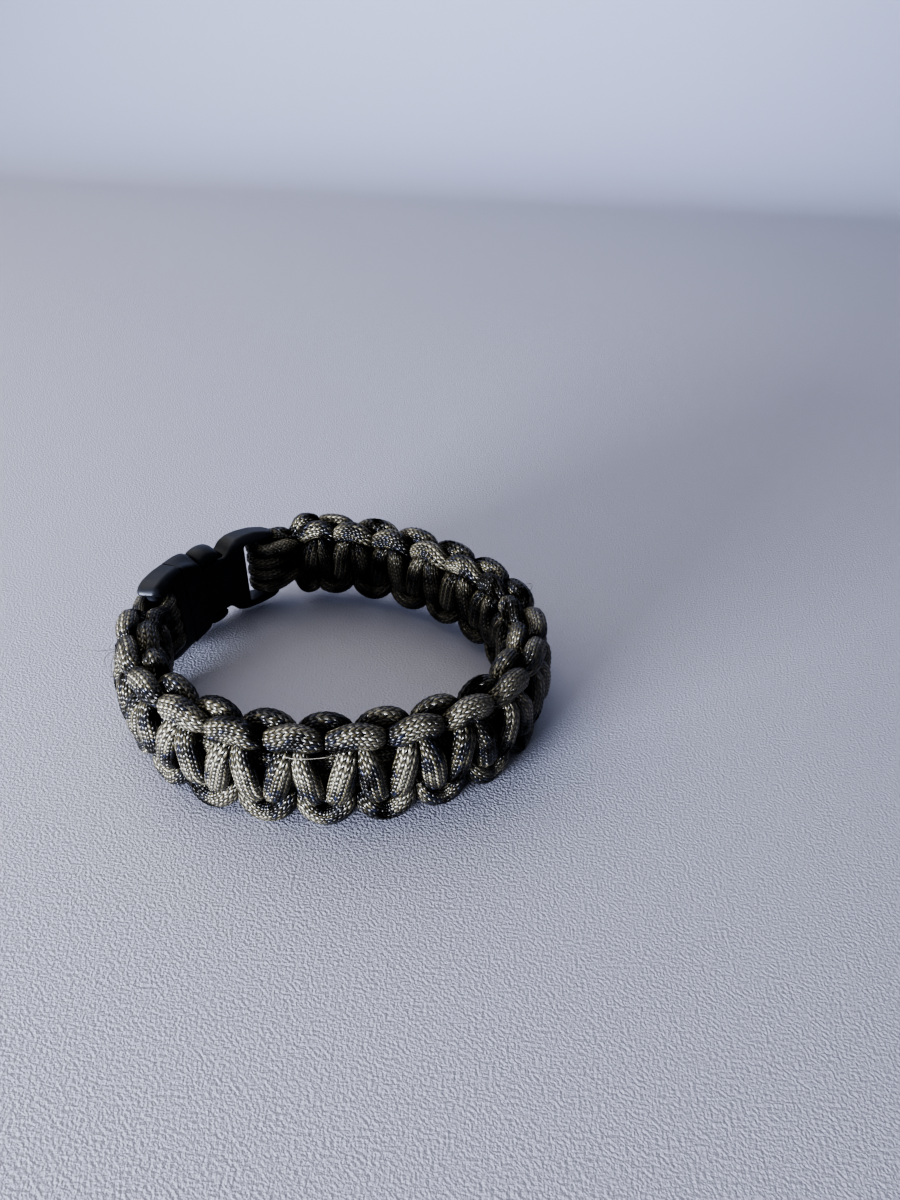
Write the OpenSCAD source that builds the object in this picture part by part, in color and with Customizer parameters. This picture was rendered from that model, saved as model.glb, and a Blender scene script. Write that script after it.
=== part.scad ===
// Paracord bracelet: a square-knot (cobra) weave of two working cords over two core strands,
// closed by a contoured side-release buckle, lying on its edge.
// Z is up across the band's width. The ring lies in the XY plane, its front toward -Y.

/* [Ring] */
// Mean radius of the band's middle line, seen from above
ring_r = 33.8; // [31:0.1:40]
// How far the ring is pulled oval
oval = 1.75; // [0:0.05:2.5]
// Direction of the oval's long axis, in degrees
oval_dir = -18.7; // [-90:0.1:90]
// How far the ring is pulled egg-shaped
egg = 0.89; // [0:0.05:1.5]
// Direction of the egg's blunt side, in degrees
egg_dir = -5.9; // [-60:0.1:60]

/* [Weave] */
// Width of the woven band, which is its height as it lies
band_w = 19.5; // [19:0.1:21]
// Length of one half-knot along the band
half_knot = 4.645; // [4.6:0.005:5]
// Number of half-knots
knot_count = 37; // [5:2:37]
// How much the weave narrows along its lower edge at the back, where it lifts off the table
back_lift = 1.8; // [0:0.1:2.2]

/* [Cord] */
// Half the width of a working cord across its bars, flattened in the knot
cord_half_w = 1.38; // [1.3:0.01:1.38]
// Half the mean thickness of a working cord
cord_half_t = 1.36; // [1.3:0.01:1.36]
// Half the width of a core strand
core_half_w = 1.6; // [1.3:0.05:1.65]
// Half the thickness of a core strand
core_half_t = 1.1; // [0.9:0.05:1.1]
// Flat sides round a cord
cord_sides = 8; // [8:2:12]
// Rings along each half-knot of a working cord
knot_rings = 8; // [8:1:12]

/* [Buckle] */
// Radius that the contoured buckle is curved to, at its middle
buckle_r = 37; // [35:0.5:42]
// Widest part of the buckle, at the mouth collar
buckle_w = 17.6; // [16:0.1:18]
// Thickness of the buckle
buckle_t = 5; // [4.6:0.1:5.6]
// Opening that the cords pass through, across the buckle
slot_w = 13; // [12.6:0.1:13.2]
// Diameter of the bars that the cords loop round
bar_d = 2.6; // [2.4:0.1:2.8]

/* [Hidden] */
mid_z = band_w / 2;

// The ring's middle line, in polar form about its own centre
ring_x = -0.96;
ring_y = -0.44;
function ring_rad(a) = ring_r + oval * cos(2 * (a - oval_dir)) + egg * cos(3 * (a - egg_dir));
function ring_xy(a) = [ring_x, ring_y] + ring_rad(a) * [cos(a), sin(a)];

// Arc length along that line, tabulated from an angle in the middle of the buckle
arc_from = -214;
arc_steps = 240;
arc_angle = [for (i = [0:arc_steps]) arc_from + 360 * i / arc_steps];
function arc_step(i) = norm(ring_xy(arc_angle[i]) - ring_xy(arc_angle[i - 1]));
arc_len = [for (i = 0, s = 0; i <= arc_steps; i = i + 1, s = s + (i <= arc_steps ? arc_step(i) : 0)) s];
arc_table = [for (i = [0:arc_steps]) [arc_len[i], arc_angle[i]]];
function unit(v) = v / norm(v);
function flat_unit(v) = [v.x, v.y] / norm([v.x, v.y]);

// A point of the band: s along the middle line, w up from the middle of the width, r outward
function along(s) = lookup(s, arc_table);
function ring_dir(a) = flat_unit(ring_xy(a + 0.6) - ring_xy(a - 0.6));
function band_point(s, w, r) =
    let (a = along(s), t = ring_dir(a), p = ring_xy(a))
    [p.x + r * t.y, p.y - r * t.x, mid_z + w + lift(s) * (0.5 - w / band_w)];
function out_dir(s) = let (t = ring_dir(along(s))) [t.y, -t.x, 0];

// The lower edge rises along the back of the ring: rows are [place s, share of back_lift]
lift_table = [[125, 0], [145, 1], [171, 1], [181, 0]];
function lift(s) = back_lift * lookup(s, lift_table);

// The half-knots are numbered from 1, half_knot past this place along the middle line
weave_start = 18.5;
function knot_at(t) = weave_start + half_knot * t;

// One working cord of the square knot, t counting half-knots: a bar over the outer face at
// each whole t, and a loop round the edge, on the inner face, halfway to the next.
// hook swings the ends of each bar past its neighbour's, reach takes it out to edge_w,
// and rise lifts the bars over the core. The width, thickness and roll follow the same turn.
hook = [0.48, -0.11, -0.02];
edge_in = 1.44;
edge_w = band_w / 2 - edge_in;
reach = [0.934, -0.019, 0.047];
rise = [0.47, 2.81, 0.14, -0.42];
half_w_wave = [0.13, 0.43];
half_t_wave = [0.12, 0.16];
roll_wave = [-25, 43];
function knot_s(t) =
    knot_at(t - hook[0] * sin(360 * t) - hook[1] * sin(720 * t) - hook[2] * sin(1080 * t));
function knot_w(t) =
    edge_w * (reach[0] * sin(180 * t) + reach[1] * sin(540 * t) + reach[2] * sin(900 * t));
function knot_r(t) =
    rise[0] + rise[1] * cos(360 * t) + rise[2] * cos(720 * t) + rise[3] * cos(1080 * t);

// A station of a cord is [s, w, r, half width, half thickness, roll, looped]
function knot_station(t, side) = [
    knot_s(t), side * knot_w(t), side * knot_r(t),
    cord_half_w + half_w_wave[0] * cos(360 * t) + half_w_wave[1] * cos(720 * t),
    cord_half_t + half_t_wave[0] * cos(360 * t) + half_t_wave[1] * cos(720 * t),
    roll_wave[0] * sin(180 * t) + roll_wave[1] * sin(540 * t), false
];

// The cords pass through the buckle's slots and loop round its end bars, side by side.
// way is +1 at the bar past the weave's end, and face is the face of the loop's first leg.
// Each working cord narrows in at a neck to clear the arms. Each strand's end is a short stub.
loop_half_w = 1.5;
loop_half_t = 1.05;
loop_r = bar_d / 2 + loop_half_t + 0.12;
loop_turns = 5;
loop_core_w = 1.6;
loop_work_w = 4.8;
neck_w = 5;
neck_r = 2.2;
neck_gap = 2.2;
stub_r = 2.2;
stub_gap = 3.2;
function loop_stations(bar, w, way, face) = [
    for (i = [0:loop_turns])
        let (a = 180 * i / loop_turns)
        [
            bar[0] + way * loop_r * sin(a), w, bar[1] + face * loop_r * cos(a),
            loop_half_w, loop_half_t, 0, true
        ]
];
function stub_station(bar, w, way, face) =
    [bar[0] - way * stub_gap, w, bar[1] + face * stub_r, loop_half_w, loop_half_t, 0, true];
function neck_station(bar, w, way, face) =
    [bar[0] - way * neck_gap, w, bar[1] + face * neck_r, loop_half_w, loop_half_t, 0, true];

// A cord's frame: across is the ring's width direction
function level(v, t) = v - (v * t) * t;
function across(q, t, side) =
    q[6] ? unit(level([0, 0, -side], t)) : unit(cross(t, level(side * out_dir(q[0]), t)));
function cord_ring(q, pts, i, side) =
    let (
        n = len(pts),
        t = unit(pts[min(i + 1, n - 1)] - pts[max(i - 1, 0)]),
        x = across(q[i], t, side),
        y = cross(x, t),
        roll = q[i][5]
    )
    [
        for (k = [0:cord_sides - 1])
            let (a = 360 * (k + 0.5) / cord_sides, u = q[i][3] * cos(a), v = q[i][4] * sin(a))
            pts[i] + (u * cos(roll) - v * sin(roll)) * x + (u * sin(roll) + v * cos(roll)) * y
    ];
module cord(q, side) {
    pts = [for (p = q) band_point(p[0], p[1], p[2])];
    n = cord_sides;
    last = (len(q) - 1) * n;
    polyhedron(
        points = [for (i = [0:len(q) - 1]) each cord_ring(q, pts, i, side)],
        faces = concat(
            [[for (k = [n - 1:-1:0]) k]],
            [[for (k = [0:n - 1]) last + k]],
            [
                for (i = [0:len(q) - 2], k = [0:n - 1])
                    let (a = i * n + k, b = i * n + (k + 1) % n)
                    each [[a, b, b + n], [a, b + n, a + n]]
            ]
        )
    );
}

// The two working cords: side is +1 for the one that crosses the outer face
function working_path(side) = concat(
    [stub_station(prong_bar, side * loop_work_w, -1, side)],
    loop_stations(prong_bar, side * loop_work_w, -1, side),
    [neck_station(prong_bar, side * neck_w, -1, -side)],
    [for (i = [0:knot_count * knot_rings]) knot_station(0.5 + i / knot_rings, side)],
    [neck_station(socket_bar, -side * neck_w, 1, -side)],
    loop_stations(socket_bar, -side * loop_work_w, 1, -side),
    [stub_station(socket_bar, -side * loop_work_w, 1, side)]
);
module cord_weave_a() color("#6b6249") cord(working_path(1), 1);
module cord_weave_b() color("#585240") cord(working_path(-1), -1);

// The two core strands run side by side through the middle of the knots
core_w = 1.75;
core_rings = 42;
core_past = 0.6;
function core_station(i, w) =
    let (t = 1 - core_past + (knot_count - 1 + 2 * core_past) * i / core_rings)
    [knot_at(t), w * core_w, 0, core_half_w, core_half_t, 0, true];
function core_path(w) = concat(
    [stub_station(prong_bar, w * loop_core_w, -1, 1)],
    loop_stations(prong_bar, w * loop_core_w, -1, 1),
    [for (i = [0:core_rings]) core_station(i, w)],
    loop_stations(socket_bar, w * loop_core_w, 1, -1),
    [stub_station(socket_bar, w * loop_core_w, 1, 1)]
);
module cord_core() color("#4d4636") {
    cord(core_path(1), 1);
    cord(core_path(-1), 1);
}

// The buckle is curved about its own centre. Stations along it are arc lengths at its middle
// radius, from the seam between its halves: plus towards the socket's end, minus the other way.
buckle_x = ring_x + 2.2;
buckle_y = ring_y - 0.85;
seam_angle = 158.8;
r_in = buckle_r - buckle_t / 2;
r_out = buckle_r + buckle_t / 2;
function buckle_angle(x) = seam_angle - x / buckle_r * 180 / PI;

// Lengths of the socket's stretches from the seam, and of the prongs' base
collar_l = 5.6;
window_l = 6.8;
block_l = 4.6;
arm_l = 7.4;
base_l = 8.3;
root_l = 2.6;
block_x = collar_l + window_l;
slot_x = block_x + block_l;
socket_end = slot_x + arm_l;
bar_inset = 1.35;
prong_bar_x = -base_l + bar_inset;
socket_bar_x = socket_end - bar_inset;

// Wall thickness, the play between the halves, the rounding of the long edges, how far a
// stretch runs on into its neighbour, and how far a cut runs past the surface it opens
wall = 1.15;
play = 0.15;
edge_round = 1;
lap = 1;
cut = 1;

// Each end bar's place in the band's own terms, as [s along the middle line, r outward]
function bar_xy(x) =
    [buckle_x, buckle_y] + buckle_r * [cos(buckle_angle(x)), sin(buckle_angle(x))];
function wrap_angle(a) = a > arc_from + 360 ? a - 360 : a;
function bar_place(x) =
    let (
        p = bar_xy(x),
        a = wrap_angle(atan2(p.y - ring_y, p.x - ring_x)),
        s = lookup(a, [for (e = arc_table) [e[1], e[0]]]) + (p - ring_xy(a)) * ring_dir(a),
        b = along(s),
        t = ring_dir(b)
    )
    [s, (p - ring_xy(b)) * [t.y, -t.x]];
prong_bar = bar_place(prong_bar_x);
socket_bar = bar_place(socket_bar_x);

// A rounded rectangle between radii r0 and r1 and of width w, centred on the band's middle
module rounded_profile(r0, r1, w, c) {
    translate([r0 + c, -w / 2]) square([r1 - r0 - 2 * c, w]);
    translate([r0, -w / 2 + c]) square([r1 - r0, w - 2 * c]);
    for (r = [r0 + c, r1 - c], z = [-w / 2 + c, w / 2 - c]) translate([r, z]) circle(c, $fn = 32);
}
// A curved block of the buckle from station x0 to station x1
module arc_block(x0, x1, r0, r1, w, c = 0) {
    translate([buckle_x, buckle_y, mid_z])
        rotate([0, 0, buckle_angle(x1)])
            rotate_extrude(angle = buckle_angle(x0) - buckle_angle(x1), $fn = 96)
                if (c > 0) rounded_profile(r0, r1, w, c);
                else translate([r0, -w / 2]) square([r1 - r0, w]);
}
// Stands a shape drawn along (x) and across (y) the buckle at station x, facing outward
module at_station(x) {
    translate([buckle_x, buckle_y, mid_z])
        rotate([0, 0, buckle_angle(x)])
            rotate([90, 0, 90])
                mirror([1, 0, 0])
                    children();
}
bar_end_in = 0.8;
module end_bar(x) {
    translate([buckle_x, buckle_y, mid_z])
        rotate([0, 0, buckle_angle(x)])
            translate([buckle_r, 0, 0])
                cylinder(d = bar_d, h = buckle_w - 2 * bar_end_in, center = true, $fn = 32);
}

// Female half: mouth collar, side windows, solid block and a bar between two arms.
// Each in value is how far a stretch's faces, or its sides, lie in from the collar's.
side_wall = 1.7;
window_from_r = r_in + 0.3;
window_to_r = r_out - 0.3;
block_side_in = 0.3;
arm_in = 0.4;
arm_out_w = buckle_w - 1;
pocket_w = buckle_w - 2 * side_wall;
pocket_end = block_x - 0.3;
module buckle_socket() color("#1d2027") {
    difference() {
        union() {
            arc_block(0, collar_l, r_in, r_out, buckle_w, edge_round);
            arc_block(collar_l - lap, block_x + lap, window_from_r, window_to_r, pocket_w, edge_round);
            arc_block(block_x, slot_x, r_in, r_out, buckle_w - 2 * block_side_in, edge_round);
            arc_block(slot_x - lap, socket_end, r_in + arm_in, r_out - arm_in, arm_out_w, edge_round);
        }
        arc_block(-cut, pocket_end, r_in + wall, r_out - wall, pocket_w);
        arc_block(collar_l, pocket_end, r_in + wall, r_out - wall, buckle_w + 2 * cut);
        arc_block(slot_x, socket_end + cut, r_in - cut, r_out + cut, slot_w);
    }
    end_bar(socket_bar_x);
}

// Male half: a base with its bar and slot, a guide tongue and two prongs with round buttons.
// The prongs are drawn flat, about the station prong_mid_x, and cut to the buckle's curve.
base_side_in = 0.2;
prong_from_w = 4.1;
prong_to_w = 6.4;
prong_mid_x = 6;
button_r = 5;
button_mid_x = 9;
button_half_l = 2.9;
button_out_w = 8.5;
tongue_w = 4.4;
tongue_end = 10.4;
root_mid_x = -root_l / 2;
tongue_in = r_in + wall + play;
tongue_out = r_out - wall - play;
module prong_outline() {
    translate([root_mid_x - prong_mid_x, prong_from_w])
        square([button_mid_x - root_mid_x, prong_to_w - prong_from_w]);
    intersection() {
        translate([button_mid_x - prong_mid_x, button_out_w - button_r]) circle(button_r, $fn = 64);
        translate([button_mid_x - prong_mid_x - button_half_l, prong_from_w])
            square([2 * button_half_l, button_out_w]);
    }
}
module tongue_outline() {
    translate([root_mid_x - prong_mid_x, -tongue_w / 2]) square([tongue_end - root_mid_x, tongue_w]);
}
module buckle_prongs() color("#22252d") {
    difference() {
        arc_block(-base_l, -play, r_in, r_out, buckle_w - 2 * base_side_in, edge_round);
        arc_block(-base_l - cut, -root_l, r_in - cut, r_out + cut, slot_w);
    }
    end_bar(prong_bar_x);
    intersection() {
        arc_block(root_mid_x, pocket_end - play, tongue_in, tongue_out, buckle_w + 2 * cut);
        at_station(prong_mid_x) linear_extrude(2 * buckle_r) {
            prong_outline();
            mirror([0, 1, 0]) prong_outline();
            tongue_outline();
        }
    }
}

cord_core();
cord_weave_a();
cord_weave_b();
buckle_socket();
buckle_prongs();
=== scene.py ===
import math

import bpy
import numpy as np
from mathutils import Matrix, Vector


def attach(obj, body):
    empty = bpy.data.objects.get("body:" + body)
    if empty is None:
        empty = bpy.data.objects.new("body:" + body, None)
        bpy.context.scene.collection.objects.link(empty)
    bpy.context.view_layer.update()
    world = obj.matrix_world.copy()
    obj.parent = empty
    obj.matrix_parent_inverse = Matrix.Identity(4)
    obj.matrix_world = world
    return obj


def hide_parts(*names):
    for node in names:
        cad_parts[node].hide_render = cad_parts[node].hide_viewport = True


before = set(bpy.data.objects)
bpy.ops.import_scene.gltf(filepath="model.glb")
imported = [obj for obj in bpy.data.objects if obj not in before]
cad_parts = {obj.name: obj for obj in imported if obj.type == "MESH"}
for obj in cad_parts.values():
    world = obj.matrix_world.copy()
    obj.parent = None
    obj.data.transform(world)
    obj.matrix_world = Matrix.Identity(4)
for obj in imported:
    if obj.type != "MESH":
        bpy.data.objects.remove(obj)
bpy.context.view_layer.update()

# Lengths are in millimetres in the CAD frame until they reach a mesh, which is in metres
MM = 0.001

# The ring's middle line, in polar form about its own centre, and the band's half height
RING_XY = (-0.96, -0.44)
RING_R = 33.8
OVAL = 1.75
OVAL_DIR = -18.7
EGG = 0.89
EGG_DIR = -5.9
BAND_W = 19.5
MID_Z = BAND_W / 2
ARC_FROM = -214.0
BACK_LIFT = 2.8
LIFT_AT = (122, 146, 160, 190, 197)
LIFT_SHARE = (0, 0.85, 0.95, 1, 0.1)

# The square knot's path, by the CAD model's formula, with its bars slanted a little more and its
# end knots moved toward the middle by END_SHIFT and START_SHIFT, as the photo shows
WEAVE_START = 18.5
HALF_KNOT = 4.645
KNOTS = 37
HOOK = (0.52, -0.07, -0.02)
REACH = (0.934, -0.019, 0.047)
RISE = (0.47, 2.81, 0.14, -0.42)
EDGE_W = BAND_W / 2 - 1.86
TOP_SQUARE = 0.45
BOTTOM_DROP = 0.055
END_EASE = 0.28
BOTTOM_FLAT = 0.42
CORE_W = 1.75

# The cord's section: half its width and thickness, and how both change along a half-knot
HALF_W = (2.08, 0.02, 0.12)
HALF_T = (1.78, 0.05, 0.10)
ROLL = (-12, 16)

# How far hand tying strays: along the band, across its width, outward, and as a share of width
STRAY_S = 0.16
STRAY_W = 0.12
STRAY_R = 0.10
SWELL = 0.05
CORE_HALF = (2.0, 1.8)

# The loops round the buckle's bars
BAR_D = 2.6
LOOP_HALF = (1.55, 1.45)
LOOP_R = BAR_D / 2 + 1.38
LOOP_CORE_W = 1.4
LOOP_WORK_W = 4.2
END_SHIFT = 2.8
START_SHIFT = 1.5

# The cords between a bar and the knots, each place as: gap from the bar, how far from mid width,
# and how far toward the face that the cord leaves on
START_NECK = ((2.6, 3.9, 2.2),)
END_NECK_LOW = ((2.6, 4.4, 2.2), (6.4, 3.6, 1.0))
END_NECK_TOP = ((1.2, 5.0, 2.5), (3.7, 6.1, 0.8), (5.8, 5.0, -0.5))
WORK_STUB = ((3.2, 4.4, 2.2), (7.0, 3.9, 0.6))
CORE_STUB = ((4.0, 1.4, 2.3),)

# The buckle's curve. Stations along it run from the seam between its halves
BUCKLE_XY = (RING_XY[0] + 2.2, RING_XY[1] - 0.85)
BUCKLE_R = 37.0
SEAM_ANGLE = 158.8
LEAN = 5.0
PRONG_BAR_X = -6.85
SOCKET_BAR_X = 22.7

# The sheath's braid: pairs of columns round the cord, whose stitches slant one way and the other,
# and each stitch's length along it
BRAID_PAIRS = 11
STITCH = 0.86
SIDES = 3 * BRAID_PAIRS
RING_STEP = STITCH / 4
RELIEF = 0.12
STITCH_LEAN = 0.5
# How steeply each stitch rounds off across and along, and how far it dips to one end
STITCH_ROUND = (1.4, 1.6)
STITCH_TILT = 0.30
CORE_STEP = 2 * RING_STEP
CORD_TWIST = (0.002, 0.002, 0.004, -0.003)

# Filaments that stand off the sheath, and one thread pulled across the front, as rows of s, w, r
FIBRE_R = 0.045
PULLED_THREAD = (
    ((71.0, 5.9, 3.9), (72.4, 6.5, 5.0), (75.0, 6.7, 5.1), (77.0, 6.8, 4.9), (78.2, 6.4, 3.8)),
)
STRAY_FIBRES = (
    ((23.2, 0.2, 2.6), (23.9, 0.3, 6.2), (24.6, 0.6, 8.8), (24.1, 1.0, 11.0), (23.4, 1.0, 12.6)),
    ((23.4, 0.0, 3.0), (24.3, 0.2, 6.4), (26.0, 0.0, 7.2), (28.0, -0.4, 6.4)),
    ((24.0, 0.3, 3.0), (25.4, 0.2, 5.7), (29.0, 0.0, 5.6), (31.2, -0.2, 5.0), (33.8, 0.2, 3.4)),
    ((30.6, -0.2, 5.1), (31.4, 0.8, 5.6), (32.0, 1.6, 4.2)),
    ((137.6, 6.2, 3.2), (138.4, 6.8, 5.4), (139.9, 6.9, 6.6), (141.0, 6.0, 5.2)),
)


def unit(v):
    return v / np.linalg.norm(v, axis=-1, keepdims=True)


def level(v, t):
    return v - (v * t).sum(-1, keepdims=True) * t


# The ring


def ring_xy(angle):
    a = np.radians(angle)
    oval = OVAL * np.cos(2 * (a - math.radians(OVAL_DIR)))
    egg = EGG * np.cos(3 * (a - math.radians(EGG_DIR)))
    r = RING_R + oval + egg
    return np.stack([RING_XY[0] + r * np.cos(a), RING_XY[1] + r * np.sin(a)], -1)


ARC_ANGLE = np.linspace(ARC_FROM, ARC_FROM + 360, 3601)
ARC_STEPS = np.linalg.norm(np.diff(ring_xy(ARC_ANGLE), axis=0), axis=1)
ARC_LEN = np.concatenate([[0], np.cumsum(ARC_STEPS)])


def ring_way(s):
    """The direction along the middle line at place s."""
    a = np.interp(s, ARC_LEN, ARC_ANGLE)
    return unit(ring_xy(a + 0.6) - ring_xy(a - 0.6))


def out_way(s):
    """The direction straight out of the ring at place s."""
    t = ring_way(s)
    return np.stack([t[..., 1], -t[..., 0], 0 * t[..., 0]], -1)


def band_point(s, w, r):
    """A point of the band: s along the middle line, w up from mid width, r outward."""
    s = np.asarray(s, float)
    flat = ring_xy(np.interp(s, ARC_LEN, ARC_ANGLE))
    lift = BACK_LIFT * np.interp(s, LIFT_AT, LIFT_SHARE) * (0.5 - w / BAND_W)
    up = np.stack([0 * s, 0 * s, MID_Z + w + lift], -1)
    return np.concatenate([flat, 0 * flat[..., :1]], -1) + up + np.asarray(r)[..., None] * out_way(s)


def bar_place(x):
    """A buckle bar's place in the band's terms: (s along the middle line, r outward)."""
    a = math.radians(SEAM_ANGLE) - x / BUCKLE_R
    p = np.array(BUCKLE_XY) + BUCKLE_R * np.array([math.cos(a), math.sin(a)])
    i = np.linalg.norm(ring_xy(ARC_ANGLE) - p, axis=1).argmin()
    s = ARC_LEN[i]
    return s, float((p - ring_xy(ARC_ANGLE[i])) @ out_way(s)[:2])


# Cord paths. A station is a row: place s, w, r, half width, half thickness, roll, looped


def wobble(t, seed):
    """A smooth, repeatable unevenness of about plus or minus one, as hand tying leaves."""
    return (np.sin(1.31 * t + seed) + np.sin(2.17 * t + 2.3 * seed) + np.sin(3.43 * t + 4.1 * seed)) / 2.2


def ease(k):
    k = np.clip(k, 0, 1)
    return k * k * (3 - 2 * k)


def knot_stations(side):
    t = np.arange(0.5, KNOTS + 0.5001, 1 / 48)
    turn = 2 * math.pi * t
    s = t - HOOK[0] * np.sin(turn) - HOOK[1] * np.sin(2 * turn) - HOOK[2] * np.sin(3 * turn)
    s = WEAVE_START + HALF_KNOT * s + STRAY_S * wobble(t, 1.0 + side)
    s = s - END_SHIFT * ease((t - KNOTS + 1.5) / 2)
    s = s + START_SHIFT * (1 - ease((t - 0.5) / 3.5))
    w = sum(c * np.sin((2 * i + 1) * turn / 2) for i, c in enumerate(REACH)) * EDGE_W
    r = sum(c * np.cos(i * turn) for i, c in enumerate(RISE))
    w = side * w * (1 - END_EASE * np.clip(1 - (t - 0.5) / 0.4, 0, 1))
    top = np.clip(w / EDGE_W, 0, 1)
    low = np.clip(-w / EDGE_W, 0, 1) ** 3
    if side < 0:
        w = w + TOP_SQUARE * EDGE_W * top * (1 - top)
    w = w * (1 + BOTTOM_DROP * low) + STRAY_W * wobble(t, 5.0 + side)
    r = side * r + STRAY_R * wobble(t, 9.0 + side)
    half_w = HALF_W[0] + HALF_W[1] * np.cos(turn) + HALF_W[2] * np.cos(2 * turn)
    half_w = half_w * (1 + SWELL * wobble(t / 2, 3.0 + side)) - BOTTOM_FLAT * low
    half_t = HALF_T[0] + HALF_T[1] * np.cos(turn) + HALF_T[2] * np.cos(2 * turn)
    roll = ROLL[0] * np.sin(turn / 2) + ROLL[1] * np.sin(1.5 * turn)
    return np.stack([s, w, r, half_w, half_t, roll, 0 * t], -1)


def loop_stations(bar, w, way, face):
    a = np.linspace(0, math.pi, 25)
    one = np.ones_like(a)
    out = bar[1] + w * math.sin(math.radians(LEAN))
    return np.stack([
        bar[0] + way * LOOP_R * np.sin(a), w * one, out + face * LOOP_R * np.cos(a),
        LOOP_HALF[0] * one, LOOP_HALF[1] * one, 0 * one, one,
    ], -1)


def lead(bar, way, side, face, places):
    """The stations between a bar and the knots, listed going away from the bar."""
    return np.array([
        [bar[0] - way * gap, side * w, bar[1] + face * r, *LOOP_HALF, 0, 1] for gap, w, r in places
    ])


def working_stations(side, ends):
    start, end = ends
    end_neck = END_NECK_TOP if side < 0 else END_NECK_LOW
    return np.concatenate([
        lead(start, -1, side, side, WORK_STUB)[::-1],
        loop_stations(start, side * LOOP_WORK_W, -1, side),
        lead(start, -1, side, -side, START_NECK),
        knot_stations(side),
        lead(end, 1, -side, -side, end_neck)[::-1],
        loop_stations(end, -side * LOOP_WORK_W, 1, -side),
        lead(end, 1, -side, side, WORK_STUB),
    ])


def core_stations(w, ends):
    start, end = ends
    t = np.arange(0.4, KNOTS + 0.6, 0.2)
    one = np.ones_like(t)
    middle = np.stack([
        WEAVE_START + HALF_KNOT * t, w * CORE_W * one, 0 * one,
        CORE_HALF[0] * one, CORE_HALF[1] * one, 0 * one, one,
    ], -1)
    return np.concatenate([
        lead(start, -1, w, 1, CORE_STUB)[::-1],
        loop_stations(start, w * LOOP_CORE_W, -1, 1),
        middle,
        loop_stations(end, w * LOOP_CORE_W, 1, -1),
        lead(end, 1, w, 1, CORE_STUB),
    ])


def soften(values, width):
    """Averages rows along a path with a bell-shaped weight, keeping both ends."""
    n = int(3 * width)
    k = np.exp(-0.5 * (np.arange(-n, n + 1) / width) ** 2)
    k /= k.sum()
    before = 2 * values[:1] - values[n:0:-1]
    after = 2 * values[-1:] - values[-2:-n - 2:-1]
    padded = np.concatenate([before, values, after])
    return np.stack([np.convolve(padded[:, i], k, "valid") for i in range(values.shape[1])], 1)


class Strand:
    """A cord's centre line at even steps, with its section's frame and half sizes."""

    def __init__(self, stations, side, step):
        q = stations
        points = band_point(q[:, 0], q[:, 1], q[:, 2])
        t = unit(np.gradient(points, axis=0))
        looped = unit(level(np.array([0, 0, -side]) + 0 * t, t))
        knotted = unit(np.cross(t, level(side * out_way(q[:, 0]), t)))
        across = np.where(q[:, 6:] > 0.5, looped, knotted)
        thick = np.cross(across, t)
        roll = np.radians(q[:, 5:6])
        across = np.cos(roll) * across + np.sin(roll) * thick
        length = np.concatenate([[0], np.cumsum(np.linalg.norm(np.diff(points, axis=0), axis=1))])
        n = int(round(length[-1] / step))
        self.at = np.linspace(0, length[-1], n + 1)
        rows = np.concatenate([points, across, q[:, 3:5]], 1)
        rows = np.stack([np.interp(self.at, length, rows[:, i]) for i in range(rows.shape[1])], 1)
        rows = soften(rows, 0.55 / step)
        self.p = rows[:, :3]
        self.t = unit(np.gradient(self.p, axis=0))
        self.x = unit(level(rows[:, 3:6], self.t))
        self.y = np.cross(self.x, self.t)
        self.half = rows[:, 6:8]
        self.curve = np.gradient(self.t, axis=0) / step

    def turning_frame(self, twist):
        """Two directions across the cord that don't spin about it, but for twist turns a mm."""
        e = np.empty_like(self.p)
        e[0] = self.x[0]
        for i in range(1, len(e)):
            v = e[i - 1] - (e[i - 1] @ self.t[i]) * self.t[i]
            e[i] = v / math.sqrt(v @ v)
        f = np.cross(self.t, e)
        a = 2 * math.pi * twist * self.at[:, None]
        return np.cos(a) * e + np.sin(a) * f, np.cos(a) * f - np.sin(a) * e


def depth_in(strand, rows, points, blocked):
    """How deep points lie in the section at their nearest row: 0 at its centre, 1 at its edge."""
    c = strand.p[rows]
    d2 = (points ** 2).sum(-1)[:, None] + (c ** 2).sum(-1)[None] - 2 * points @ c.T
    if blocked is not None:
        d2 = np.where(blocked, 1e6, d2)
    j = d2.argmin(1)
    d = points - c[j]
    k = rows[j]
    x = (d * strand.x[k]).sum(-1) / strand.half[k, 0]
    y = (d * strand.y[k]).sum(-1) / strand.half[k, 1]
    z = (d * strand.t[k]).sum(-1)
    far = np.maximum(np.abs(z) - 0.6, 0)
    return np.sqrt(x * x + y * y + (far / 0.8) ** 2) + np.where(d2.min(1) > 1e5, 9, 0)


# The share of a bend's radius that a cord may fill, and its least height over the floor
BEND_SHARE = 0.82
FLOOR_GAP = 0.03
# How far off a neighbour is looked for, how near along itself a cord doesn't press on itself,
# and the least share of its radius that is left
PRESS_REACH = 7.0
OWN_REACH = 5.5
TIGHTEST = 0.35


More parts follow.
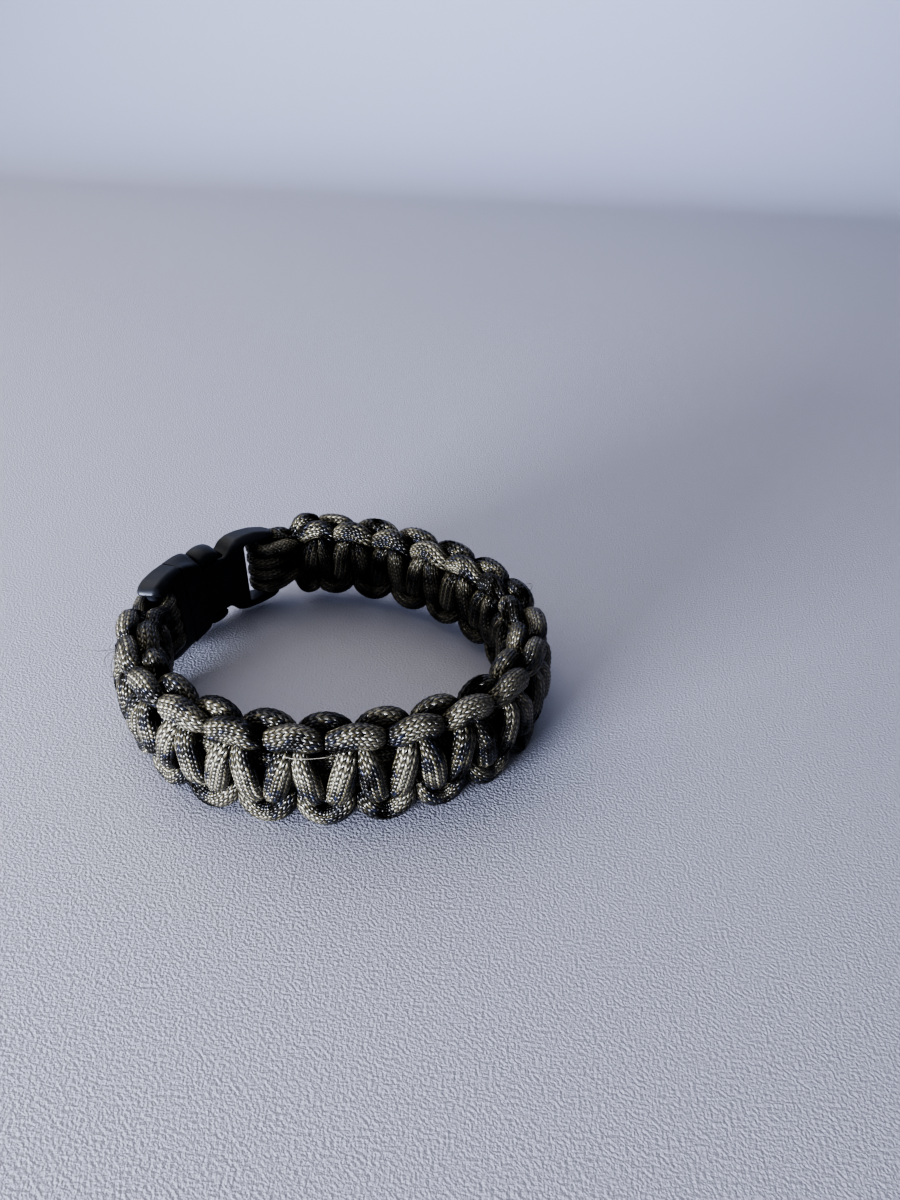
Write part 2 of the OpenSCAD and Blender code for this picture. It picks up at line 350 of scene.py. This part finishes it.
def pressed(strand, others, rings, centres):
    """Draws each ring's points in to where the cord presses on its neighbours or itself."""
    n, sides = rings.shape[:2]
    keep = np.ones((n, sides))
    block = 12
    for i in range(0, n, block):
        j = min(i + block, n)
        middle = centres[i:j].mean(0)
        near = []
        for other in others:
            rows = np.nonzero(np.linalg.norm(other.p - middle, axis=1) < PRESS_REACH)[0][::2]
            if len(rows):
                near.append((other, rows, None))
        rows = np.nonzero(np.linalg.norm(strand.p - middle, axis=1) < PRESS_REACH)[0][::2]
        own = np.abs(strand.at[i:j, None] - strand.at[rows][None]) < OWN_REACH
        if len(rows) and not own.all():
            near.append((strand, rows, np.repeat(own, sides, axis=0)))
        c = np.repeat(centres[i:j], sides, axis=0)
        d = rings[i:j].reshape(-1, 3) - c
        low = np.full(len(c), TIGHTEST)
        high = np.ones(len(c))
        inside = np.zeros(len(c), bool)
        for other, rows, blocked in near:
            inside |= depth_in(other, rows, c + d, blocked) < 1
        if not inside.any():
            continue
        c, d, low, high = c[inside], d[inside], low[inside], high[inside]
        near = [(o, r, b[inside] if b is not None else None) for o, r, b in near]
        for _ in range(7):
            k = (low + high) / 2
            deep = np.full(len(c), 9.0)
            for other, rows, blocked in near:
                deep = np.minimum(deep, depth_in(other, rows, c + k[:, None] * d, blocked))
            out = deep > k
            low = np.where(out, k, low)
            high = np.where(out, high, k)
        part = np.ones(inside.shape)
        part[inside] = low
        keep[i:j] = part.reshape(j - i, sides)
    return keep


def stitch_height(u, v):
    """The braid's relief from 0 to 1: u counts column pairs round the cord, v stitches along it."""
    ridge = 0.5 + 0.5 * np.cos(2 * math.pi * u)
    wave = np.cos(2 * math.pi * v)
    return ridge * (0.65 + 0.35 * wave) + (1 - ridge) * (0.2 - 0.2 * wave)


def cord_rings(strand, all_strands, twist):
    """A swept cord's rings of points, pressed flat where it meets others, with the braid's relief."""
    e, f = strand.turning_frame(twist)
    a = 2 * math.pi * np.arange(SIDES) / SIDES
    way = np.cos(a)[None, :, None] * e[:, None] + np.sin(a)[None, :, None] * f[:, None]
    x = (way * strand.x[:, None]).sum(-1) / strand.half[:, :1]
    y = (way * strand.y[:, None]).sum(-1) / strand.half[:, 1:]
    radius = 1 / np.sqrt(x * x + y * y)
    inward = (way * strand.curve[:, None]).sum(-1)
    radius = np.minimum(radius, BEND_SHARE / np.maximum(inward, 0.01))
    others = [o for o in all_strands if o is not strand]
    rings = strand.p[:, None] + radius[..., None] * way
    radius = radius * pressed(strand, others, rings, strand.p)
    smooth = radius.copy()
    for _ in range(2):
        smooth = (np.roll(smooth, 1, 1) + 2 * smooth + np.roll(smooth, -1, 1)) / 4
        smooth[1:-1] = (smooth[:-2] + 2 * smooth[1:-1] + smooth[2:]) / 4
    radius = np.minimum(smooth, radius + 0.05)
    u = BRAID_PAIRS * np.arange(SIDES) / SIDES
    v = strand.at / STITCH
    radius = radius + RELIEF * (stitch_height(u[None], v[:, None]) - 0.5)
    rings = strand.p[:, None] + radius[..., None] * way
    rings[..., 2] = np.maximum(rings[..., 2], FLOOR_GAP)
    return rings, v


def cord_mesh(name, runs):
    """One mesh of swept cords, each run being (rings, how many stitches along each ring is)."""
    verts, faces, uvs = [], [], []
    base = 0
    for rings, v in runs:
        n, sides = rings.shape[:2]
        u = BRAID_PAIRS * np.arange(sides + 1) / sides
        grid = base + np.arange(n * sides).reshape(n, sides)
        right = np.roll(grid, -1, axis=1)
        quads = np.stack([grid[:-1], right[:-1], right[1:], grid[1:]], -1).reshape(-1, 4)
        corner_u = np.stack([u[:-1], u[1:], u[1:], u[:-1]], -1)[None]
        corner_v = np.stack([v[:-1], v[:-1], v[1:], v[1:]], -1)[:, None]
        corners = np.stack(np.broadcast_arrays(corner_u, corner_v), -1)
        verts.append(rings.reshape(-1, 3))
        faces.append(quads)
        uvs.append(corners.reshape(-1, 2))
        base += n * sides
    return mesh_object(name, np.concatenate(verts), np.concatenate(faces), np.concatenate(uvs))


def mesh_object(name, verts, quads, uvs=None):
    mesh = bpy.data.meshes.new(name)
    mesh.vertices.add(len(verts))
    mesh.vertices.foreach_set("co", (verts * MM).astype(np.float32).ravel())
    mesh.loops.add(quads.size)
    mesh.loops.foreach_set("vertex_index", quads.astype(np.int32).ravel())
    mesh.polygons.add(len(quads))
    mesh.polygons.foreach_set("loop_start", np.arange(0, quads.size, 4, dtype=np.int32))
    mesh.polygons.foreach_set("use_smooth", np.ones(len(quads), bool))
    if uvs is not None:
        layer = mesh.uv_layers.new(name="Braid")
        layer.data.foreach_set("uv", uvs.astype(np.float32).ravel())
    mesh.update(calc_edges=True)
    mesh.validate()
    obj = bpy.data.objects.new(name, mesh)
    bpy.context.scene.collection.objects.link(obj)
    return obj


# The buckle's mouldings, as distances from their surfaces: x along the curve from the seam, w up
# from mid width, r outward from the middle radius. A form is solid where its value is below zero

SOCKET_WIDTH = [
    (0, 8.95), (3, 8.95), (4.6, 8.75), (5.5, 8.3), (6.2, 6.7), (7, 6.2), (11.9, 5.9), (12.7, 6.4),
    (13.8, 7.6), (15.3, 8.3), (17.2, 8.5), (20, 8.5), (22.9, 7.95), (24.2, 7.4), (25.4, 6.5),
]
SOCKET_DIP = [(0, 0.3), (1.6, 0.5), (3.5, 1.1), (5.8, 1.3), (10.3, 0.3), (13, 0.3), (15.5, 0.0)]
SOCKET_HALF_R = [
    (0, 2.5), (5.5, 2.55), (6.5, 2.4), (11.8, 2.4), (13.5, 2.55), (18, 2.45), (22, 2.2), (25.4, 1.6),
]
SOCKET_ROUND = [(0, 0.9), (5.5, 1.0), (7, 0.6), (12, 0.6), (15, 1.4), (20, 1.8), (25, 1.6)]
SOCKET_END = 25.3
SLOT_FROM = 17.0
SLOT_HALF_W = 6.5
BASE_WIDTH = [(-9.2, 7.7), (-8.6, 8.2), (-7.6, 8.65), (-6, 8.95), (-3, 9.05), (0, 8.9)]
BASE_HALF_R = [(-9.2, 1.9), (-8.2, 2.3), (-6.5, 2.5), (0, 2.5)]
BASE_END = -8.95
BASE_SLOT_FROM = -3.1
UNDERCUT_X = -8.15
UNDERCUT_W = 7.0
OUTER_ROUND = 0.7
BASE_ROUND = 1.5
SEAM_GAP = 0.04
BAR_HALF_W = 7.4
WINDOW_FROM = 5.7
PRONG_W = 5.2
PRONG_HALF_W = 1.1
PRONG_HALF_R = 1.15
TONGUE_HALF_W = 2.2
PAD_HALF_R = 2.45
POCKET_HALF = (7.1, 1.35)
POCKET_END = 12.1
BUTTON_X = 8.25
BUTTON_HALF = 2.7
BUTTON_W = 8.75
BUTTON_ROUND = 5.5
GRID_STEP = 0.16


def at(table, x):
    """A value along a table of places, eased so that its corners are soft."""
    xs, ys = zip(*table)
    return sum(np.interp(x + d, xs, ys) for d in (-0.35, -0.12, 0.12, 0.35)) / 4


def rounded_box(x, w, r, ends, half_w, half_r, corner):
    """Distance from a box between its ends in x, within half_w of w = 0 and half_r of r = 0."""
    q = (
        np.abs(x - (ends[0] + ends[1]) / 2) - (ends[1] - ends[0]) / 2 + corner,
        np.abs(w) - half_w + corner,
        np.abs(r) - half_r + corner,
    )
    outside = np.sqrt(sum(np.maximum(v, 0) ** 2 for v in q))
    return outside + np.minimum(np.maximum(np.maximum(q[0], q[1]), q[2]), 0) - corner


def inner_share(r):
    """Rises from 0 on the outer side to 1 on the side toward the wrist."""
    return ease((1.2 - r) / 3.4)


def blend_max(a, b, k):
    h = np.clip(0.5 - 0.5 * (a - b) / k, 0, 1)
    return a + (b - a) * h + k * h * (1 - h)


def blend_min(a, b, k):
    return -blend_max(-a, -b, k)


def bar_form(x, w, r, bar_x):
    return np.maximum(np.hypot(x - bar_x, r) - BAR_D / 2, np.abs(w) - BAR_HALF_W)


def socket_form(x, w, r):
    dip = at(SOCKET_DIP, x) * inner_share(r) * np.where(w > 0, 1.0, 0.35)
    corner = OUTER_ROUND + (at(SOCKET_ROUND, x) - OUTER_ROUND) * inner_share(r)
    body = rounded_box(x, w, r, (-4, SOCKET_END), at(SOCKET_WIDTH, x) - dip, at(SOCKET_HALF_R, x), corner)
    pocket = rounded_box(x, w, r, (-3, POCKET_END), *POCKET_HALF, 0.3)
    windows = rounded_box(x, w, r, (WINDOW_FROM, POCKET_END), 12, POCKET_HALF[1], 0.3)
    slot = rounded_box(x, w, r, (SLOT_FROM, SOCKET_END + 6), SLOT_HALF_W, 6, 0.7)
    body = blend_max(body, SEAM_GAP - x, 0.3)
    body = blend_max(body, -pocket, 0.25)
    body = blend_max(body, -windows, 0.35)
    body = blend_max(body, -slot, 0.45)
    return blend_min(body, bar_form(x, w, r, SOCKET_BAR_X), 0.5)


def prongs_form(x, w, r):
    corner = OUTER_ROUND + (BASE_ROUND - OUTER_ROUND) * inner_share(r)
    base = rounded_box(x, w, r, (BASE_END, 4), at(BASE_WIDTH, x), at(BASE_HALF_R, x), corner)
    slot = rounded_box(x, w, r, (BASE_END - 6, BASE_SLOT_FROM), SLOT_HALF_W, 6, 0.7)
    undercut = rounded_box(x, w, r, (BASE_END - 6, UNDERCUT_X), UNDERCUT_W, 6, 0.5)
    base = blend_max(base, x + SEAM_GAP, 0.3)
    base = blend_max(base, -slot, 0.45)
    base = blend_max(base, -undercut, 0.5)
    base = blend_min(base, bar_form(x, w, r, PRONG_BAR_X), 0.5)
    thin = np.abs(r) - PRONG_HALF_R
    side = np.abs(w)
    strip = np.maximum(np.maximum(thin, np.abs(side - PRONG_W) - PRONG_HALF_W), np.abs(x - 4.0) - 5.0)
    raised = side + 0.11 * (r - 0.8) ** 2
    head = np.hypot(x - BUTTON_X, raised - BUTTON_W + BUTTON_ROUND) - BUTTON_ROUND
    head = blend_max(head, np.abs(x - BUTTON_X) - BUTTON_HALF, 0.9)
    inner_head = np.maximum(np.maximum(head, thin), 4.1 - side)
    pad = blend_max(blend_max(head, np.abs(r) - PAD_HALF_R, 0.8), 6.1 - side, 0.3)
    tongue = np.maximum(np.maximum(thin, side - TONGUE_HALF_W), np.abs(x - 4.5) - 5.8)
    return np.minimum(np.minimum(np.minimum(base, strip), np.minimum(inner_head, pad)), tongue)


def buckle_point(p):
    """Buckle coordinates bent to its curve, with its upper edge leaning outward."""
    x, w, r = p.T
    lean = math.radians(LEAN)
    a = math.radians(SEAM_ANGLE) - x / BUCKLE_R
    radius = BUCKLE_R + r * math.cos(lean) + w * math.sin(lean)
    height = MID_Z + w * math.cos(lean) - r * math.sin(lean)
    return np.stack([BUCKLE_XY[0] + radius * np.cos(a), BUCKLE_XY[1] + radius * np.sin(a), height], -1)


def moulded_mesh(name, form):
    """A net of quads over a form's zero surface, drawn onto it and bent to the buckle's curve."""
    low = np.array([-9.7, -9.7, -3.1])
    count = (np.array([26.0, 9.7, 3.1]) - low) / GRID_STEP
    axes = [low[i] + GRID_STEP * np.arange(int(count[i]) + 1) for i in range(3)]
    value = form(*np.meshgrid(*axes, indexing="ij"))
    cells = tuple(n - 1 for n in value.shape)
    total = np.zeros(cells + (3,))
    hits = np.zeros(cells)
    edges = [[o, o[:k] + (1,) + o[k + 1:]] for k in range(3) for o in np.ndindex(2, 2, 2) if o[k] == 0]
    for o, e in edges:
        a = value[tuple(slice(d, d + n) for d, n in zip(o, cells))]
        b = value[tuple(slice(d, d + n) for d, n in zip(e, cells))]
        crossing = (a < 0) != (b < 0)
        part = np.where(crossing, a / np.where(crossing, a - b, 1), 0)
        for k in range(3):
            total[..., k] += np.where(crossing, o[k] + part * (e[k] - o[k]), 0)
        hits += crossing
    active = hits > 0
    index = np.full(cells, -1)
    index[active] = np.arange(active.sum())
    points = np.argwhere(active) + total[active] / hits[active][:, None]
    points = low + GRID_STEP * points
    quads = []
    for k in range(3):
        near, far = [slice(1, -1)] * 3, [slice(1, -1)] * 3
        near[k], far[k] = slice(1, -2), slice(2, -1)
        a, b = value[tuple(near)] < 0, value[tuple(far)] < 0
        u, v = (k + 1) % 3, (k + 2) % 3
        for flip in (False, True):
            place = np.argwhere(a & ~b if not flip else ~a & b) + 1
            ring = []
            for du, dv in ((-1, -1), (0, -1), (0, 0), (-1, 0)):
                cell = place.copy()
                cell[:, u] += du
                cell[:, v] += dv
                ring.append(index[tuple(cell.T)])
            quads.append(np.stack(ring[::-1] if flip else ring, -1))
    quads = np.concatenate(quads)
    h = 0.03
    for _ in range(3):
        d = form(*points.T)
        slope = np.stack([form(*(points + o).T) - form(*(points - o).T) for o in h * np.eye(3)], -1)
        slope /= 2 * h
        move = d[:, None] * slope / np.maximum((slope ** 2).sum(-1, keepdims=True), 0.25)
        points = points - np.clip(move, -0.05, 0.05)
    # The bend turns x against the angle, so the net's faces are turned round with it
    return mesh_object(name, buckle_point(points), quads[:, ::-1])


# Materials


class Nodes:
    """Short ways to add and join shader nodes in one material."""

    def __init__(self, name):
        self.material = bpy.data.materials.new(name)
        self.material.use_nodes = True
        self.tree = self.material.node_tree
        self.shader = self.tree.nodes["Principled BSDF"]

    def add(self, kind, **settings):
        node = self.tree.nodes.new(kind)
        for key, value in settings.items():
            setattr(node, key, value)
        return node

    def link(self, out, into):
        self.tree.links.new(out, into)

    def math(self, operation, a, b=None, c=None, clamp=False):
        node = self.add("ShaderNodeMath", operation=operation, use_clamp=clamp)
        for socket, value in zip(node.inputs, (a, b, c)):
            if value is None:
                continue
            if isinstance(value, (int, float)):
                socket.default_value = value
            else:
                self.link(value, socket)
        return node.outputs[0]

    def vector(self, x, y, z):
        node = self.add("ShaderNodeCombineXYZ")
        for socket, value in zip(node.inputs, (x, y, z)):
            if isinstance(value, (int, float)):
                socket.default_value = value
            else:
                self.link(value, socket)
        return node.outputs[0]

    def noise(self, vector, scale, detail=2.0, roughness=0.5):
        node = self.add("ShaderNodeTexNoise")
        self.link(vector, node.inputs["Vector"])
        node.inputs["Scale"].default_value = scale
        node.inputs["Detail"].default_value = detail
        node.inputs["Roughness"].default_value = roughness
        return node.outputs["Fac"]

    def random(self, vector):
        node = self.add("ShaderNodeTexWhiteNoise", noise_dimensions="3D")
        self.link(vector, node.inputs["Vector"])
        return node.outputs["Value"]

    def ramp(self, factor, stops):
        node = self.add("ShaderNodeValToRGB")
        ramp = node.color_ramp
        while len(ramp.elements) < len(stops):
            ramp.elements.new(0.5)
        for element, (place, color) in zip(ramp.elements, stops):
            element.position = place
            element.color = (*color, 1)
        self.link(factor, node.inputs["Fac"])
        return node.outputs["Color"]

    def mix(self, factor, a, b, blend="MIX"):
        node = self.add("ShaderNodeMix", data_type="RGBA", blend_type=blend)
        for name, value in (("Factor", factor), ("A", a), ("B", b)):
            socket = [i for i in node.inputs if i.name == name and i.enabled][0]
            if isinstance(value, (int, float)):
                socket.default_value = value
            elif isinstance(value, tuple):
                socket.default_value = (*value, 1)
            else:
                self.link(value, socket)
        return [o for o in node.outputs if o.enabled][0]

    def bump(self, height, distance, normal=None):
        node = self.add("ShaderNodeBump")
        node.inputs["Strength"].default_value = 1.0
        node.inputs["Distance"].default_value = distance
        self.link(height, node.inputs["Height"])
        if normal is not None:
            self.link(normal, node.inputs["Normal"])
        return node.outputs["Normal"]


def cord_material(name, seed):
    """Nylon sheath: slanted stitches in pairs of columns, each of one yarn's colour, in camouflage."""
    m = Nodes(name)
    uv = m.add("ShaderNodeUVMap", uv_map="Braid").outputs[0]
    split = m.add("ShaderNodeSeparateXYZ")
    m.link(uv, split.inputs[0])
    place_u = m.math("MULTIPLY_ADD", split.outputs[0], 2.0, 0.5)
    v = split.outputs[1]
    column = m.math("MODULO", m.math("FLOOR", place_u), 2.0 * BRAID_PAIRS)
    odd = m.math("MODULO", column, 2.0)
    x = m.math("SUBTRACT", m.math("FRACT", place_u), 0.5)
    way = m.math("MULTIPLY_ADD", odd, -2.0, 1.0)
    lean = m.math("MULTIPLY", m.math("MULTIPLY", x, way), STITCH_LEAN)
    y = m.math("ADD", m.math("MULTIPLY_ADD", odd, 0.5, v), lean)
    row = m.math("FLOOR", y)
    along = m.math("SUBTRACT", m.math("FRACT", y), 0.5)
    edge_x = m.math("POWER", m.math("ABSOLUTE", m.math("MULTIPLY", x, 2.0)), 2.4)
    edge_y = m.math("POWER", m.math("ABSOLUTE", m.math("MULTIPLY", along, 2.0)), 1.8)
    height = m.math("MULTIPLY_ADD", m.math("ADD", edge_x, edge_y), -1.0, 1.0, clamp=True)

    yarn = m.math("MULTIPLY_ADD", m.math("MULTIPLY", column, way), 0.5, row)
    yarn_random = m.random(m.vector(m.math("ROUND", yarn), odd, seed))
    cell_random = m.random(m.vector(column, row, seed + 3.0))
    a = m.math("MULTIPLY", column, math.pi / BRAID_PAIRS)
    place = m.vector(m.math("COSINE", a), m.math("SINE", a), m.math("MULTIPLY_ADD", row, 0.42, seed * 17.0))
    patch = m.noise(place, 0.55, detail=1.2, roughness=0.5)
    tone = m.math("MULTIPLY_ADD", patch, 4.0, -1.65)
    tone = m.math("ADD", tone, m.math("MULTIPLY", yarn_random, 0.13))
    tone = m.math("ADD", tone, m.math("MULTIPLY", cell_random, 0.11))
    base = m.ramp(tone, CAMOUFLAGE)
    # Painted shade: the colour darkens toward each stitch's edges and in the creases between stitches, and
    # every other column is darker still, standing in for the glint that its slant misses
    painted_shade = m.math("MULTIPLY_ADD", m.math("POWER", height, 1.2), 0.89, 0.11)
    painted_shade = m.math("MULTIPLY", painted_shade, m.math("MULTIPLY_ADD", odd, -0.64, 1.0))
    base = m.mix(1.0, base, m.vector(painted_shade, painted_shade, painted_shade), "MULTIPLY")
    m.link(base, m.shader.inputs["Base Color"])
    hair = m.math("MULTIPLY_ADD", along, way, m.math("MULTIPLY", x, 1.7))
    fibre = m.noise(m.vector(m.math("MULTIPLY", hair, 7.0), m.math("MULTIPLY", y, 0.8), column), 1.0)
    rough = m.math("MULTIPLY_ADD", fibre, 0.12, 0.24)
    rough = m.math("ADD", rough, m.math("MULTIPLY_ADD", height, -0.10, 0.10))
    m.link(rough, m.shader.inputs["Roughness"])
    gloss = m.math("MULTIPLY_ADD", tone, 1.0, 0.28, clamp=True)
    m.link(gloss, m.shader.inputs["Specular IOR Level"])
    slope_u = m.math("MULTIPLY_ADD", x, STITCH_ROUND[0] / 2, 0.5)
    slope_v = m.math("MULTIPLY_ADD", along, STITCH_ROUND[1] / 2, 0.5)
    slope_v = m.math("MULTIPLY_ADD", way, STITCH_TILT / 2, slope_v)
    domes = m.add("ShaderNodeNormalMap", space="TANGENT", uv_map="Braid")
    m.link(m.vector(slope_u, slope_v, 1.0), domes.inputs["Color"])
    m.link(m.bump(fibre, 0.02 * MM, domes.outputs[0]), m.shader.inputs["Normal"])
    return m.material


def fibre_material(name, dark, pale):
    """Loose nylon filament, glossy, its tone uneven along it."""
    m = Nodes(name)
    place = m.add("ShaderNodeTexCoord").outputs["Object"]
    tone = m.noise(place, 700.0, detail=2.0)
    m.link(m.ramp(tone, [(0.3, dark), (0.7, pale)]), m.shader.inputs["Base Color"])
    m.link(m.math("MULTIPLY_ADD", tone, 0.2, 0.2), m.shader.inputs["Roughness"])
    m.link(m.bump(tone, 0.01 * MM), m.shader.inputs["Normal"])
    return m.material


def buckle_material(name):
    """Black moulded plastic with a fine spark-textured face."""
    m = Nodes(name)
    place = m.add("ShaderNodeTexCoord").outputs["Object"]
    grain = m.noise(place, 5200.0, detail=3.0)
    cloud = m.noise(place, 160.0, detail=3.0)
    base = m.ramp(cloud, [(0.3, (0.0060, 0.0068, 0.0105)), (0.7, (0.0105, 0.0115, 0.0165))])
    m.link(base, m.shader.inputs["Base Color"])
    rough = m.math("ADD", m.math("MULTIPLY", grain, 0.12), m.math("MULTIPLY_ADD", cloud, 0.14, 0.30))
    m.link(rough, m.shader.inputs["Roughness"])
    m.shader.inputs["Specular IOR Level"].default_value = 0.34
    # A painted bluish reflection: the plastic's highlights are tinted blue
    m.shader.inputs["Specular Tint"].default_value = (0.82, 0.88, 1.0, 1)
    m.link(m.bump(grain, 0.018 * MM), m.shader.inputs["Normal"])
    return m.material


def floor_material():
    m = Nodes("floor_pale")
    place = m.add("ShaderNodeTexCoord").outputs["Object"]
    pebble = m.noise(place, 2200.0, detail=1.5)
    m.shader.inputs["Base Color"].default_value = (0.348, 0.358, 0.450, 1)
    m.shader.inputs["Roughness"].default_value = 0.5
    m.link(m.bump(pebble, 0.17 * MM), m.shader.inputs["Normal"])
    return m.material


# From the darkest yarns to the lightest: black, navy, olive brown, olive, tan and cream
CAMOUFLAGE = [
    (0.00, (0.013, 0.011, 0.009)), (0.20, (0.012, 0.013, 0.017)), (0.33, (0.017, 0.022, 0.055)),
    (0.38, (0.024, 0.020, 0.010)), (0.50, (0.054, 0.046, 0.021)), (0.64, (0.108, 0.094, 0.049)),
    (0.85, (0.175, 0.156, 0.098)), (1.00, (0.260, 0.238, 0.168)),
]

# The scene


def build_cords():
    ends = (bar_place(PRONG_BAR_X), bar_place(SOCKET_BAR_X))
    core = [Strand(core_stations(w, ends), 1, CORE_STEP) for w in (1, -1)]
    cord_a = Strand(working_stations(1, ends), 1, RING_STEP)
    cord_b = Strand(working_stations(-1, ends), -1, RING_STEP)
    everything = core + [cord_a, cord_b]
    runs = [cord_rings(strand, everything, twist) for strand, twist in zip(everything, CORD_TWIST)]
    place_cord("core_cords", runs[:2], "cord_core", cord_material("core_sheath", 3.0))
    for letter, (rings, v), seed in (("a", runs[2], 1.0), ("b", runs[3], 2.0)):
        sheath = cord_material("cord_" + letter + "_sheath", seed)
        half = len(rings) // 2
        for number, part in ((1, slice(0, half + 1)), (2, slice(half, None))):
            name = "weave_cord_" + letter + "_" + str(number)
            place_cord(name, [(rings[part], v[part])], "cord_weave_" + letter, sheath)


def place_cord(name, runs, node, sheath):
    piece = cord_mesh(name, runs)
    piece.data.materials.append(sheath)
    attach(piece, "root")
    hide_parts(node)


def fibre_run(places):
    """A thin thread through places given as: s along the band, w from mid width, r outward."""
    q = np.array(places, float)
    k = np.linspace(0, len(q) - 1, 12 * len(q))
    line = np.stack([np.interp(k, np.arange(len(q)), q[:, i]) for i in range(3)], 1)
    line = soften(line, 4)
    points = band_point(line[:, 0], line[:, 1], line[:, 2])
    t = unit(np.gradient(points, axis=0))
    x = unit(np.cross(t, [0.3, 0.2, 0.9]))
    y = np.cross(x, t)
    a = 2 * math.pi * np.arange(6) / 6
    round_way = np.cos(a)[None, :, None] * x[:, None] - np.sin(a)[None, :, None] * y[:, None]
    rings = points[:, None] + FIBRE_R * round_way
    return rings, np.arange(len(points)) / 4.0


def build_fibres():
    for name, runs, dark, pale in (
        # The stray fibres' dark colours are partly painted shade, as they lie shadowed; the pulled thread
        # keeps its own pale tone
        ("stray_fibres", STRAY_FIBRES, (0.020, 0.018, 0.016), (0.070, 0.066, 0.060)),
        ("pulled_thread", PULLED_THREAD, (0.16, 0.15, 0.13), (0.46, 0.44, 0.40)),
    ):
        piece = cord_mesh(name, [fibre_run(places) for places in runs])
        piece.data.materials.append(fibre_material(name, dark, pale))
        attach(piece, "root")


def build_buckle():
    for name, form, node in (
        ("socket_shell", socket_form, "buckle_socket"), ("prongs_frame", prongs_form, "buckle_prongs"),
    ):
        piece = moulded_mesh(name, form)
        piece.data.materials.append(buckle_material(name + "_plastic"))
        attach(piece, "root")
        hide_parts(node)


def build_stage():
    width, near, far, sweep, top = 4.0, -2.0, 0.7, 0.5, 1.5
    profile = [(near, 0.0), (far, 0.0)]
    turns = np.linspace(0, math.pi / 2, 13)[1:]
    profile += [(far + sweep * math.sin(a), sweep - sweep * math.cos(a)) for a in turns]
    profile += [(far + sweep, top)]
    verts = [(x, y, z) for y, z in profile for x in (-width / 2, width / 2)]
    faces = [(2 * i, 2 * i + 1, 2 * i + 3, 2 * i + 2) for i in range(len(profile) - 1)]
    mesh = bpy.data.meshes.new("floor")
    mesh.from_pydata(verts, [], faces)
    for p in mesh.polygons:
        p.use_smooth = True
    floor = bpy.data.objects.new("floor", mesh)
    bpy.context.scene.collection.objects.link(floor)
    floor.data.materials.append(floor_material())


# Where most lights aim. Each light is a row: name, place, size, power, colour, where it aims
AIM = (0, 0, 0.01)
LIGHTS = (
    ("window", (-0.42, -0.50, 0.058), (0.30, 0.05), 18.5, (0.89, 0.92, 1.0), AIM),
    ("side_window", (-0.60, -0.12, 0.42), (0.30, 0.30), 0.35, (0.92, 0.95, 1.0), AIM),
    ("ceiling", (-0.42, 0.20, 0.66), (1.0, 1.0), 4.6, (1.0, 0.92, 0.77), AIM),
    ("far_window", (-0.15, 0.70, 0.70), (1.2, 0.5), 0.8, (0.85, 0.90, 1.0), AIM),
    ("backdrop", (0.0, 0.50, 0.55), (1.2, 0.4), 13.0, (0.68, 0.78, 1.0), (0, 1.25, 0.62)),
)


def area_light(name, place, size, power, color, target):
    light = bpy.data.lights.new(name, "AREA")
    light.shape = "RECTANGLE"
    light.size, light.size_y = size
    light.energy = power
    light.color = color
    obj = bpy.data.objects.new(name, light)
    obj.location = place
    aim = Vector(target) - Vector(place)
    obj.rotation_euler = aim.to_track_quat("-Z", "Y").to_euler()
    bpy.context.scene.collection.objects.link(obj)


def build_light():
    for name, place, size, power, color, target in LIGHTS:
        area_light(name, place, size, power, color, target)
    bpy.context.scene.view_settings.look = "AgX - High Contrast"
    world = bpy.data.worlds.new("room")
    world.use_nodes = True
    world.node_tree.nodes["Background"].inputs["Color"].default_value = (0.90, 0.92, 1.0, 1)
    world.node_tree.nodes["Background"].inputs["Strength"].default_value = 0.24
    bpy.context.scene.world = world


def build_camera():
    """The camera that was fitted to the photo."""
    place_mm = (20.84, -136.74, 110.45)
    pitch_down = 33.03
    roll = 2.64
    focal_px = 896.5
    frame_px = 1200
    camera = bpy.data.cameras.new("camera")
    camera.sensor_fit = "VERTICAL"
    camera.sensor_height = 36.0
    camera.lens = camera.sensor_height * focal_px / frame_px
    camera.clip_start = 0.005
    obj = bpy.data.objects.new("camera", camera)
    place = Matrix.Translation(Vector(place_mm) * MM)
    tilt = Matrix.Rotation(math.radians(90 - pitch_down), 4, "X")
    obj.matrix_world = place @ tilt @ Matrix.Rotation(math.radians(roll), 4, "Z")
    bpy.context.scene.collection.objects.link(obj)
    bpy.context.scene.camera = obj


build_camera()
build_cords()
build_fibres()
build_buckle()
build_stage()
build_light()
